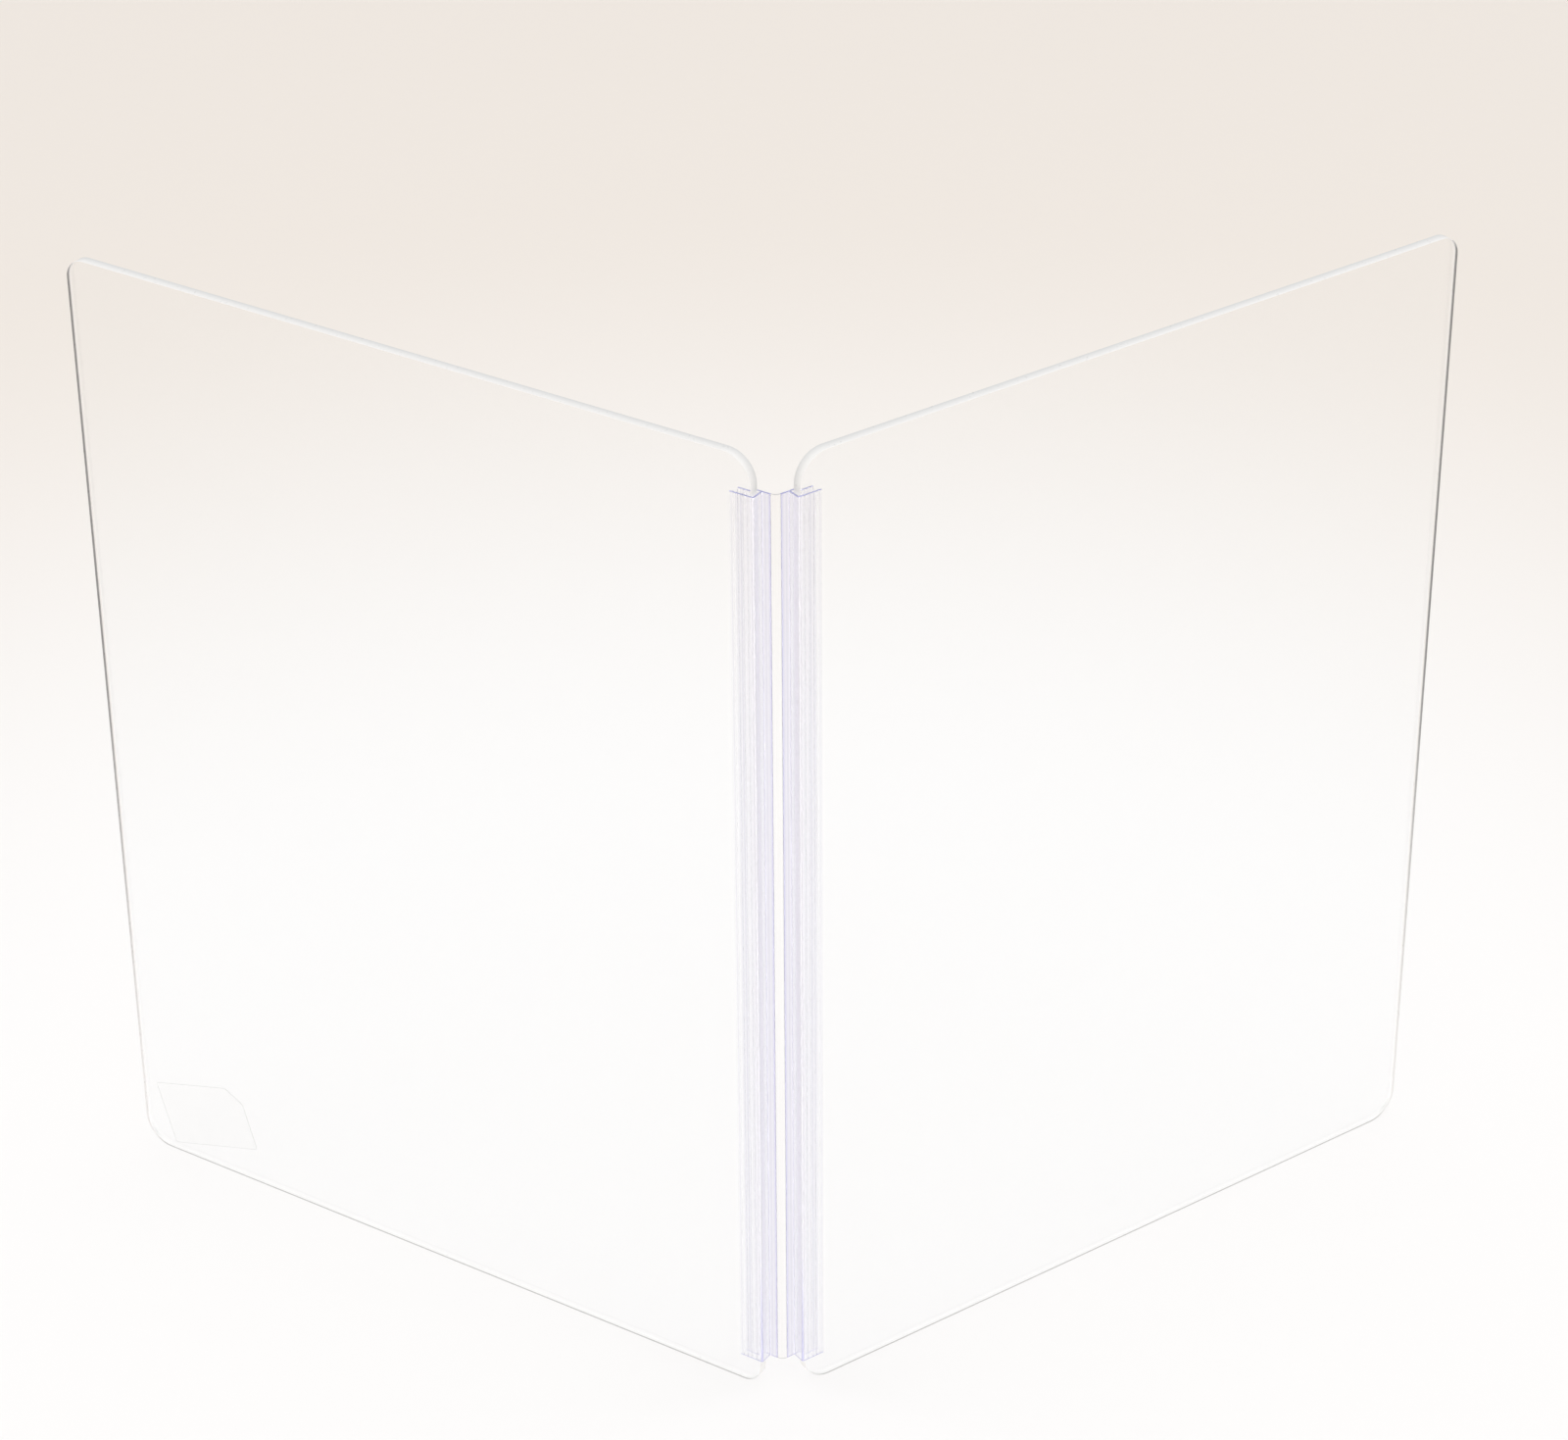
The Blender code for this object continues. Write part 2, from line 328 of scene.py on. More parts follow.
def acrylic_face_finish(finishes):
    """Clear cast acrylic, with the faint waviness of the casting and a trace of handling."""
    made = Finish(
        "clear_acrylic_face", IOR=finishes.acrylic_ior, Transmission_Weight=1.0,
        Base_Color=(*finishes.acrylic_tint, 1.0),
    )
    place = made.place()
    handled = made.noise(place, HANDLING_SCALE, detail=4.0, roughness=0.6)
    made.roughen(handled, HANDLED_BAND, (0.0, finishes.acrylic_haze))
    wavy = made.noise(place, CASTING_SCALE, detail=1.0, roughness=0.4)
    made.ripple(wavy, height=0.0006, strength=0.35)
    made.pass_light(FACE_PASSES)
    return made.material


def rim_finish(finishes, grip_foot, grip_top):
    """The sheets' polished rims. The top and hinge-side rims are pale and satin, a little greyer towards the
    back with painted shade, paler with painted light where the hinge grips them, and with a tint of their
    own under it. The outer and bottom rims are pale but for a dark front part: along the outer rim a painted
    reflection, which lightens down to the floor, and along the bottom rim painted shade."""
    made = Finish("polished_acrylic_rim", IOR=finishes.acrylic_ior)
    place = made.place()
    height = made.height(place)

    # The rims grow greyer towards the back: painted shade
    depth = made.spread(made.carried("through"), SHADE_DEPTHS)
    level = made.blend_colour(depth, finishes.rim_tint, finishes.rim_painted_shade)
    # Paler where the hinge grips the rim: painted light, making up for the shade inside the channel
    under = made.spread(height, around(grip_foot, GRIP_FOOT_FADE), DOWN, "Z")
    hidden = made.blend_colour(under, finishes.gripped_rim_painted_light, finishes.rim_low)
    below = made.spread(height, around(grip_top, GRIP_TOP_FADE), DOWN, "Z")
    inward = made.spread(made.carried("inward"), FACING_HINGE)
    gripped = made.multiply(below, inward)
    satin = made.blend_colour(gripped, level, hidden, "Value")

    # Along the outer rim the dark front part is a painted reflection, darkest up high and lightening to the
    # floor with the pale part behind it; along the bottom rim it is painted shade
    foot = made.spread(height, (0.0, finishes.painted_reflection_foot), DOWN, "Z")
    foot.interpolation_type = "SMOOTHSTEP"
    upright = made.blend_colour(foot, finishes.painted_reflection_top, finishes.painted_reflection_low)
    down = made.spread(made.carried("downward"), FACING_FLOOR)
    painted_band = made.blend_colour(down, upright, finishes.painted_shade_bottom)
    clearing = made.spread(made.carried("painted_band"), (finishes.painted_band_from, finishes.painted_band_to))
    pale = made.blend_colour(foot, finishes.rim_pale, finishes.rim_pale_low)
    painted_dark = made.blend_colour(clearing, painted_band, pale)

    outer = made.spread(made.carried("outward"), FACING_OUT)
    made.colour_from(made.blend_colour(outer, satin, painted_dark))
    made.roughen(made.noise(place, POLISH_SCALE), NOISE_BAND, (0.27, 0.31))
    made.pass_light(RIM_PASSES)
    return made.material


def rigid_vinyl_finish(name, finishes, colour, clearness, foot_colour=None):
    """Clear rigid vinyl, faintly cloudy and lavender, with fine lines lengthways, partly the lines that the
    extrusion die draws and partly painted shade for the stripes that refraction in the ribs makes, and a
    deeper line along its joint with the web."""
    made = Finish(name, IOR=finishes.vinyl_ior, Transmission_Weight=clearness)
    from_web = made.carried("from_web")
    # The lines are partly the die's lines and partly painted shade for the stripes that refraction in the
    # ribs makes
    drawn = made.lines(from_web, finishes.line_density)
    line = made.spread(drawn, LINE_BAND)
    line_and_rib_colour = [part * shade for part, shade in zip(colour, finishes.line_and_rib_shade)]
    body = made.blend_colour(line, colour, line_and_rib_colour)
    if foot_colour:
        height = made.height(made.place())
        foot = made.spread(height, (DEEPEST_BELOW, finishes.corner_foot), DOWN, "Z")
        body = made.blend_colour(foot, body, foot_colour)
    reach = finishes.joint_reach
    joint = made.spread(from_web, (JOINT_CORE * reach, reach), DOWN)
    made.colour_from(made.blend_colour(joint, body, finishes.joint_tint))
    made.roughen(drawn, DRAWN_BAND, (0.01, 0.05))
    made.pass_light(CHANNEL_PASSES)
    return made.material


def saw_cut_finish(name, finishes, pale, deep, clearness, passes):
    """The hinge's cut ends: satin, with the fine marks of the saw in two tints."""
    made = Finish(name, IOR=finishes.vinyl_ior, Transmission_Weight=clearness)
    marks = made.noise(made.place(SAW_STRETCH), SAW_SCALE)
    mix = made.spread(marks, SAW_BAND)
    made.colour_from(made.blend_colour(mix, pale, deep))
    made.roughen(marks, NOISE_BAND, (0.3, 0.5))
    made.pass_light(passes)
    return made.material


def web_finish(finishes):
    """Clear soft vinyl, warmer and a little duller than the rigid channels."""
    made = Finish(
        "clear_soft_vinyl_web", IOR=finishes.vinyl_ior, Transmission_Weight=1.0,
        Base_Color=(*finishes.web_tint, 1.0),
    )
    made.roughen(made.noise(made.place(WEB_STRETCH), WEB_SCALE), DRAWN_BAND, (0.08, 0.2))
    made.pass_light(WEB_PASSES)
    return made.material


def joined_face_finish():
    """The face where the web's two halves are one piece of vinyl: light passes straight on."""
    made = Finish("web_joined_face")
    clear = made.node("ShaderNodeBsdfTransparent")
    made.join(clear, "BSDF", made.output, "Surface")
    made.tree.nodes.remove(made.shader)
    return made.material


def label_finish(finishes, outwards):
    """Blank clear film, a little satin beside the sheet under it, with pale grey cut edges."""
    made = Finish("blank_clear_film", IOR=finishes.film_ior)
    facing = made.node("ShaderNodeVectorMath", operation="DOT_PRODUCT")
    made.join(made.node("ShaderNodeTexCoord"), "Normal", facing, 0)
    facing.inputs[1].default_value = outwards
    flat = made.node("ShaderNodeMath", operation="ABSOLUTE")
    made.join(facing, "Value", flat, 0)
    edge = made.spread(flat, FILM_EDGE_BAND, DOWN, "Value")
    made.colour_from(made.blend_colour(edge, finishes.film_tint, finishes.film_edge))
    clear = made.spread(flat, FILM_EDGE_BAND, (FILM_EDGE_CLEARNESS, 1.0), "Value")
    made.join(clear, "Result", made.shader, "Transmission Weight")
    grain = made.noise(made.place(), FILM_SCALE)
    made.roughen(grain, NOISE_BAND, (0.1, 0.22))
    made.ripple(grain, height=0.00001, strength=0.4)
    made.pass_light(FILM_PASSES)
    return made.material


def floor_finish(stage):
    """Pale studio paper: white where the shield stands, and further out cream and darker, partly the paper's
    tone and partly painted shade where the light falls off.
    """
    made = Finish("pale_studio_paper", Specular_IOR_Level=0.2)
    place = made.place()
    away = made.node("ShaderNodeVectorMath", operation="LENGTH")
    made.join(place, "Vector", away, "Vector")
    # Further out the floor turns cream and darker: the paper's tone and painted shade where the light falls
    # off
    fade = made.spread(away, (stage.far_fade_from, stage.far_fade_to), socket="Value")
    fade.interpolation_type = "SMOOTHSTEP"
    made.colour_from(made.blend_colour(fade, stage.floor_colour, stage.far_colour_and_shade))
    fibre = made.noise(place, FIBRE_SCALE, detail=4.0)
    made.roughen(fibre, NOISE_BAND, (0.75, 0.95))
    made.ripple(fibre, height=0.0004, strength=0.3)
    return made.material


# Making pieces


def new_piece(name, shape, materials):
    """The bmesh as an object in the scene, with its place in its mesh."""
    mesh = bpy.data.meshes.new(name)
    shape.to_mesh(mesh)
    shape.free()
    for material in materials:
        mesh.materials.append(material)
    piece = bpy.data.objects.new(name, mesh)
    bpy.context.scene.collection.objects.link(piece)
    return piece


def shade(piece, sharp_degrees):
    """Round parts shaded smooth, edges kept, and flat faces held flat beside their rounds."""
    piece.data.shade_smooth()
    piece.data.set_sharp_from_angle(angle=math.radians(sharp_degrees))
    even = piece.modifiers.new("even_shading", "WEIGHTED_NORMAL")
    even.keep_sharp = True
    even.weight = 80


def sheet_shape(low, high, outer_side, sizes):
    """A flat sheet with four round corners, its rims polished to a small round. The sheet's
    outer top corner, on the side that outer_side gives, has a round of its own, and so has
    the left sheet's corner at the hinge's foot."""
    shape = bmesh.new()
    size = high - low
    middle = (low + high) / 2.0
    spot = Matrix.Translation(middle) @ Matrix.Diagonal(size).to_4x4()
    bmesh.ops.create_cube(shape, size=1.0, matrix=spot)
    outer_top = corners_towards(shape, middle, outer_side, 1.0)
    round_edges(shape, outer_top, sizes.outer_top_radius, sizes.corner_steps)
    if outer_side < 0.0:
        left_foot = corners_towards(shape, middle, -outer_side, -1.0)
        round_edges(shape, left_foot, sizes.left_foot_radius, sizes.corner_steps)
    round_edges(shape, sharp_corners(shape), sizes.corner_radius, sizes.corner_steps)
    broad = [face for face in shape.faces if abs(face.normal.y) > ALONG]
    round_edges(shape, edges_of(broad), sizes.edge_round, sizes.edge_steps)
    mark_rims(shape, low.y, high.y, outer_side)
    for face in shape.faces:
        face.material_index = RIM if abs(face.normal.y) < SQUARE else FACE
    return shape


def mark_rims(shape, front, back, outer_side):
    """Store at each point how far through the sheet it lies, which way its rim faces, and how deep into the
    rim's painted dark band it lies there."""
    layers = shape.verts.layers.float
    through = layers.new("through")
    outward = layers.new("outward")
    inward = layers.new("inward")
    downward = layers.new("downward")
    painted_band = layers.new("painted_band")
    for vertex in shape.verts:
        away = Vector((outer_side * vertex.normal.x, vertex.normal.z))
        away /= max(away.length, TINY)
        down = max(-away.y, 0.0)
        vertex[through] = (vertex.co.y - front) / (back - front)
        vertex[outward] = max(away.x, down)
        vertex[inward] = max(-away.x, 0.0)
        vertex[downward] = down
        vertex[painted_band] = vertex[through] * (1.0 + PAINTED_BAND_NARROWING * down)


def sharp_corners(shape):
    """The corners of a sheet that are still sharp: edges from its front to its back."""
    corners = []
    for edge in shape.edges:
        run = edge.verts[1].co - edge.verts[0].co
        if abs(run.y) > ALONG * run.length and edge.calc_face_angle() > SHARP_FROM:
            corners.append(edge)
    return corners


def corners_towards(shape, middle, right, up):
    """The sharp corners right (1) or left (-1) of the middle, and above (1) or below it (-1)."""
    return [
        edge
        for edge in sharp_corners(shape)
        if right * (edge.verts[0].co.x - middle.x) > 0.0
        and up * (edge.verts[0].co.z - middle.z) > 0.0
    ]


def edges_of(faces):
    """Each edge of the faces once, in an order that stays the same from run to run."""
    return list(dict.fromkeys(edge for face in faces for edge in face.edges))


def round_edges(shape, edges, radius, steps):
    """Round the given edges."""
    bmesh.ops.bevel(
        shape, geom=edges, offset=radius, offset_type="OFFSET", segments=steps,
        profile=0.5, affect="EDGES", material=-1,
    )
    shape.normal_update()


def merged_copy(node):
    """A CAD node's mesh as one closed shell with whole faces."""
    shape = bmesh.new()
    shape.from_mesh(frame["nodes"][node].data)
    bmesh.ops.remove_doubles(shape, verts=shape.verts[:], dist=TINY)
    bmesh.ops.dissolve_limit(
        shape, angle_limit=math.radians(0.4), verts=shape.verts[:], edges=shape.edges[:],
    )
    shape.normal_update()
    return shape


def ease_cut_ends(shape, amount):
    """Take the sharpness off the two saw-cut ends of an extrusion."""
    ends = [face for face in shape.faces if abs(face.normal.z) > ALONG]
    bmesh.ops.bevel(
        shape, geom=edges_of(ends), offset=amount, offset_type="OFFSET", segments=2,
        profile=0.5, affect="EDGES", material=-1, clamp_overlap=True,
    )
    shape.normal_update()


# Settings


class SHIELD_PG_sizes(bpy.types.PropertyGroup):
    """Sizes of the rounds and small details. The large sizes come from the frame."""

    corner_radius: bpy.props.FloatProperty(
        name="Corner radius",
        description="Radius of the sheets' corners that have none of their own below",
        default=0.0175, min=0.001, subtype="DISTANCE", unit="LENGTH",
    )
    outer_top_radius: bpy.props.FloatProperty(
        name="Outer top radius", description="Radius of each sheet's outer top corner",
        default=0.0125, min=0.001, subtype="DISTANCE", unit="LENGTH",
    )
    left_foot_radius: bpy.props.FloatProperty(
        name="Left foot radius",
        description="Radius of the left sheet's corner by the hinge's foot",
        default=0.0115, min=0.001, subtype="DISTANCE", unit="LENGTH",
    )
    corner_steps: bpy.props.IntProperty(
        name="Corner steps", description="Flats round each sheet corner", default=40, min=4,
    )
    edge_round: bpy.props.FloatProperty(
        name="Edge round", description="Radius to which the sheets' rims are polished",
        default=0.0002, min=0.0001, precision=4, subtype="DISTANCE", unit="LENGTH",
    )
    edge_steps: bpy.props.IntProperty(
        name="Edge steps", description="Flats round each polished rim", default=6, min=2,
    )
    cut_ease: bpy.props.FloatProperty(
        name="Cut ease", description="How far the hinge's saw-cut ends are eased",
        default=0.00012, min=0.00001, precision=5, subtype="DISTANCE", unit="LENGTH",
    )
    web_steps: bpy.props.IntProperty(
        name="Web steps", description="Flats across each half of the web", default=16, min=4,
    )


class SHIELD_PG_finishes(bpy.types.PropertyGroup):
    """Colours and clearness of the plastics."""

    acrylic_tint: bpy.props.FloatVectorProperty(
        name="Acrylic tint", description="Colour of the clear sheets",
        default=(0.992, 0.996, 0.998), min=0.0, max=1.0, subtype="COLOR",
    )
    acrylic_ior: bpy.props.FloatProperty(
        name="Acrylic IOR", description="How much the sheets bend light", default=1.49, min=1.0,
    )
    acrylic_haze: bpy.props.FloatProperty(
        name="Acrylic haze", description="Roughness where the sheets have been handled",
        default=0.035, min=0.0, max=1.0, subtype="FACTOR",
    )
    rim_tint: bpy.props.FloatVectorProperty(
        name="Rim tint", description="Colour of the sheets' rims at the front",
        default=(0.78, 0.775, 0.765), min=0.0, max=1.0, subtype="COLOR",
    )
    # The rims' greyer colour at the back is painted shade
    rim_painted_shade: bpy.props.FloatVectorProperty(
        name="Rim shade", description="Colour of the sheets' rims at the back",
        default=(0.60, 0.605, 0.60), min=0.0, max=1.0, subtype="COLOR",
    )
    # Paler than the other rims: painted light, making up for the shade inside the hinge's channel
    gripped_rim_painted_light: bpy.props.FloatVectorProperty(
        name="Gripped rim tint", description="Colour of the rims that the hinge grips",
        default=(0.90, 0.90, 0.92), min=0.0, max=1.0, subtype="COLOR",
    )
    rim_low: bpy.props.FloatVectorProperty(
        name="Low rim tint", description="Colour of the hinge-side rims under the hinge",
        default=(0.80, 0.79, 0.77), min=0.0, max=1.0, subtype="COLOR",
    )
    # The outer rim's dark front part is a painted reflection, dark up high and lightening to the floor, as
    # the pale part behind it also does
    painted_reflection_top: bpy.props.FloatVectorProperty(
        name="Smoke top", description="Colour of the outer rim's front part, up high",
        default=(0.165, 0.16, 0.155), min=0.0, max=1.0, subtype="COLOR",
    )
    painted_reflection_low: bpy.props.FloatVectorProperty(
        name="Smoke low", description="Colour of the outer rim's front part, at the floor",
        default=(0.76, 0.74, 0.72), min=0.0, max=1.0, subtype="COLOR",
    )
    # The bottom rim's dark front part is painted shade
    painted_shade_bottom: bpy.props.FloatVectorProperty(
        name="Smoke bottom", description="Colour of the bottom rim's front part",
        default=(0.45, 0.44, 0.425), min=0.0, max=1.0, subtype="COLOR",
    )
    painted_reflection_foot: bpy.props.FloatProperty(
        name="Smoke foot", description="Height over which the outer rim lightens to the floor",
        default=0.38, min=0.01, subtype="DISTANCE", unit="LENGTH",
    )
    painted_band_from: bpy.props.FloatProperty(
        name="Smoke from", description="Share of the rim's depth that is wholly smoky",
        default=0.55, min=0.0, max=1.0, subtype="FACTOR",
    )
    painted_band_to: bpy.props.FloatProperty(
        name="Smoke to", description="Share of the rim's depth at which the smoke has ended",
        default=0.75, min=0.0, max=1.0, subtype="FACTOR",
    )
    rim_pale: bpy.props.FloatVectorProperty(
        name="Pale rim tint", description="Colour of the outer and bottom rims behind the smoke",
        default=(0.78, 0.75, 0.72), min=0.0, max=1.0, subtype="COLOR",
    )
    rim_pale_low: bpy.props.FloatVectorProperty(
        name="Low pale rim tint",
        description="Colour of the outer and bottom rims behind the smoke, near the floor",
        default=(0.91, 0.905, 0.895), min=0.0, max=1.0, subtype="COLOR",
    )
    vinyl_cloud: bpy.props.FloatVectorProperty(
        name="Vinyl cloud", description="Colour that the channels' vinyl scatters",
        default=(0.968, 0.968, 0.982), min=0.0, max=1.0, subtype="COLOR",
    )
    # The lines along the channels are partly the die's lines and partly painted shade for the stripes that
    # refraction in the ribs makes
    line_and_rib_shade: bpy.props.FloatVectorProperty(
        name="Vinyl line", description="How the lines drawn along the channels deepen its colour",
        default=(0.86, 0.855, 0.90), min=0.0, max=1.0, subtype="COLOR",
    )
    line_density: bpy.props.FloatProperty(
        name="Line density", description="Lines drawn along the channels, per metre across",
        default=520.0, min=1.0,
    )
    joint_tint: bpy.props.FloatVectorProperty(
        name="Joint tint", description="Colour of the line where the channels meet the web",
        default=(0.74, 0.73, 0.90), min=0.0, max=1.0, subtype="COLOR",
    )
    joint_reach: bpy.props.FloatProperty(
        name="Joint reach", description="Width of the line where the channels meet the web",
        default=0.0012, min=0.0001, precision=4, subtype="DISTANCE", unit="LENGTH",
    )
    # The channels' front corners are pale and cloudy for a painted highlight
    corner_highlight_tint: bpy.props.FloatVectorProperty(
        name="Fold tint", description="Colour of the channels' front corners",
        default=(0.92, 0.91, 0.97), min=0.0, max=1.0, subtype="COLOR",
    )
    fold_foot_tint: bpy.props.FloatVectorProperty(
        name="Fold foot tint", description="Colour of the front corners near the floor",
        default=(0.66, 0.65, 0.90), min=0.0, max=1.0, subtype="COLOR",
    )
    corner_foot: bpy.props.FloatProperty(
        name="Corner foot", description="Height below which the front corners deepen",
        default=0.10, min=0.04, subtype="DISTANCE", unit="LENGTH",
    )
    root_tint: bpy.props.FloatVectorProperty(
        name="Root tint", description="Colour of the fillets where the fins start",
        default=(0.78, 0.77, 0.90), min=0.0, max=1.0, subtype="COLOR",
    )
    # The corners' low clearness is part of their painted highlight
    fold_clearness: bpy.props.FloatProperty(
        name="Fold clearness", description="Share of light that passes corners and fillets",
        default=0.4, min=0.0, max=1.0, subtype="FACTOR",
    )
    bridge_tint: bpy.props.FloatVectorProperty(
        name="Bridge tint", description="Colour of the channels' faces towards the web",
        default=(0.93, 0.93, 0.985), min=0.0, max=1.0, subtype="COLOR",
    )
    fin_tint: bpy.props.FloatVectorProperty(
        name="Fin tint", description="Colour of the fins that carry the web",
        default=(0.84, 0.835, 0.90), min=0.0, max=1.0, subtype="COLOR",
    )
    fin_clearness: bpy.props.FloatProperty(
        name="Fin clearness", description="Share of light that passes the fins",
        default=0.7, min=0.0, max=1.0, subtype="FACTOR",
    )
    vinyl_clearness: bpy.props.FloatProperty(
        name="Vinyl clearness", description="Share of light that passes the channels unscattered",
        default=0.94, min=0.0, max=1.0, subtype="FACTOR",
    )
    cut_tint: bpy.props.FloatVectorProperty(
        name="Cut tint", description="Paler colour of the channels' cut ends",
        default=(0.46, 0.47, 0.72), min=0.0, max=1.0, subtype="COLOR",
    )
    cut_shade: bpy.props.FloatVectorProperty(
        name="Cut shade", description="Deeper colour of the channels' cut ends",
        default=(0.34, 0.35, 0.62), min=0.0, max=1.0, subtype="COLOR",
    )
    cut_clearness: bpy.props.FloatProperty(
        name="Cut clearness", description="Share of light that passes the channels' cut ends",
        default=0.35, min=0.0, max=1.0, subtype="FACTOR",
    )
    vinyl_ior: bpy.props.FloatProperty(
        name="Vinyl IOR", description="How much the hinge bends light", default=1.53, min=1.0,
    )
    web_tint: bpy.props.FloatVectorProperty(
        name="Web tint", description="Colour of the soft web",
        default=(1.0, 0.995, 0.985), min=0.0, max=1.0, subtype="COLOR",
    )
    web_cut_tint: bpy.props.FloatVectorProperty(
        name="Web cut tint", description="Paler colour of the web's cut ends",
        default=(0.64, 0.62, 0.60), min=0.0, max=1.0, subtype="COLOR",
    )
    web_cut_shade: bpy.props.FloatVectorProperty(
        name="Web cut shade", description="Deeper colour of the web's cut ends",
        default=(0.54, 0.53, 0.54), min=0.0, max=1.0, subtype="COLOR",
    )
    web_cut_clearness: bpy.props.FloatProperty(
        name="Web cut clearness", description="Share of light that passes the web's cut ends",
        default=0.2, min=0.0, max=1.0, subtype="FACTOR",
    )
    film_tint: bpy.props.FloatVectorProperty(
        name="Film tint", description="Colour of the blank label film",
        default=(0.997, 0.997, 0.995), min=0.0, max=1.0, subtype="COLOR",
    )
    film_edge: bpy.props.FloatVectorProperty(
        name="Film edge", description="Colour of the label film's cut edges",
        default=(0.42, 0.41, 0.40), min=0.0, max=1.0, subtype="COLOR",
    )
    film_ior: bpy.props.FloatProperty(
        name="Film IOR", description="How much the film bends light; little, as it is glued flat",
        default=1.12, min=1.0,
    )


class SHIELD_PG_stage(bpy.types.PropertyGroup):
    """The floor, the light and the camera."""

    floor_colour: bpy.props.FloatVectorProperty(
        name="Floor colour", description="Colour of the floor round the shield",
        default=(0.90, 0.893, 0.884), min=0.0, max=1.0, subtype="COLOR",
    )
    # Further out the floor is cream and darker: partly the paper's tone, partly painted shade where the
    # light falls off
    far_colour_and_shade: bpy.props.FloatVectorProperty(
        name="Far colour", description="Colour of the floor further out",
        default=(0.80, 0.748, 0.692), min=0.0, max=1.0, subtype="COLOR",
    )
    far_fade_from: bpy.props.FloatProperty(
        name="Cream from", description="Distance at which the floor starts to turn cream",
        default=0.5, min=0.0, subtype="DISTANCE", unit="LENGTH",
    )
    far_fade_to: bpy.props.FloatProperty(
        name="Cream to", description="Distance at which the floor is cream",
        default=1.5, min=0.1, subtype="DISTANCE", unit="LENGTH",
    )
    floor_radius: bpy.props.FloatProperty(
        name="Floor radius", description="Radius of the round floor",
        default=14.0, min=1.0, subtype="DISTANCE", unit="LENGTH",
    )
    top_power: bpy.props.FloatProperty(
        name="Top power", description="Power of the large soft light overhead",
        default=14.0, min=0.0, subtype="POWER", unit="POWER",
    )
    side_strength: bpy.props.FloatProperty(
        name="Side strength", description="Strength of each far soft light beside the camera",
        default=0.43, min=0.0,
    )
    front_strength: bpy.props.FloatProperty(
        name="Front strength", description="Strength of the far soft light behind the camera",
        default=0.635, min=0.0,
    )
    far_light_width: bpy.props.FloatProperty(
        name="Far light width", description="How wide the far lights look from the shield",
        default=math.radians(28.0), min=0.0, subtype="ANGLE", unit="ROTATION",
    )
    horizon_colour: bpy.props.FloatVectorProperty(
        name="Horizon colour", description="Colour of the surroundings at eye level",
        default=(0.85, 0.84, 0.83), min=0.0, max=1.0, subtype="COLOR",
    )
    zenith_colour: bpy.props.FloatVectorProperty(
        name="Zenith colour", description="Colour of the surroundings overhead",
        default=(0.80, 0.80, 0.81), min=0.0, max=1.0, subtype="COLOR",
    )
    camera_place: bpy.props.FloatVectorProperty(
        name="Camera place", description="Where the camera stands",
        default=(-0.04336, -2.18708, 1.68914), subtype="TRANSLATION", unit="LENGTH",
    )
    camera_pitch: bpy.props.FloatProperty(
        name="Camera pitch", description="How far the camera looks down",
        default=0.5432, subtype="ANGLE", unit="ROTATION",
    )
    camera_yaw: bpy.props.FloatProperty(
        name="Camera yaw", description="How far the camera is turned to the right",
        default=0.0227, subtype="ANGLE", unit="ROTATION",
    )
    camera_roll: bpy.props.FloatProperty(
        name="Camera roll", description="How far the camera leans to its left",
        default=-0.0070, subtype="ANGLE", unit="ROTATION",
    )
    focal_length: bpy.props.FloatProperty(
        name="Focal length", description="The lens, in millimetres on a 36 mm wide sensor",
        default=105.54, min=1.0,
    )


# Pieces


class SHIELD_OT_sheets(bpy.types.Operator):
    """Make the two clear acrylic sheets."""

    bl_idname = "shield.make_sheets"
    bl_label = "Acrylic sheets"

    def execute(self, context):
        sizes = context.scene.shield_sizes
        finishes = context.scene.shield_finishes
        face = acrylic_face_finish(finishes)
        grip_low, grip_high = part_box("left_hinge_channel")
        rim = rim_finish(finishes, grip_low.z, grip_high.z)
        for side, outer_side in zip(SIDES, (-1.0, 1.0)):
            axes = leaf_axes(side)
            low, high = extent(side + "_panel", axes)
            shape = sheet_shape(low, high, outer_side, sizes)
            bmesh.ops.transform(shape, matrix=axes, verts=shape.verts[:])
            sheet = new_piece(side + "_sheet", shape, [face, rim])
            shade(sheet, sharp_degrees=40.0)
            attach(sheet, side + "_leaf")
            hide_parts(side + "_panel")
        return {"FINISHED"}


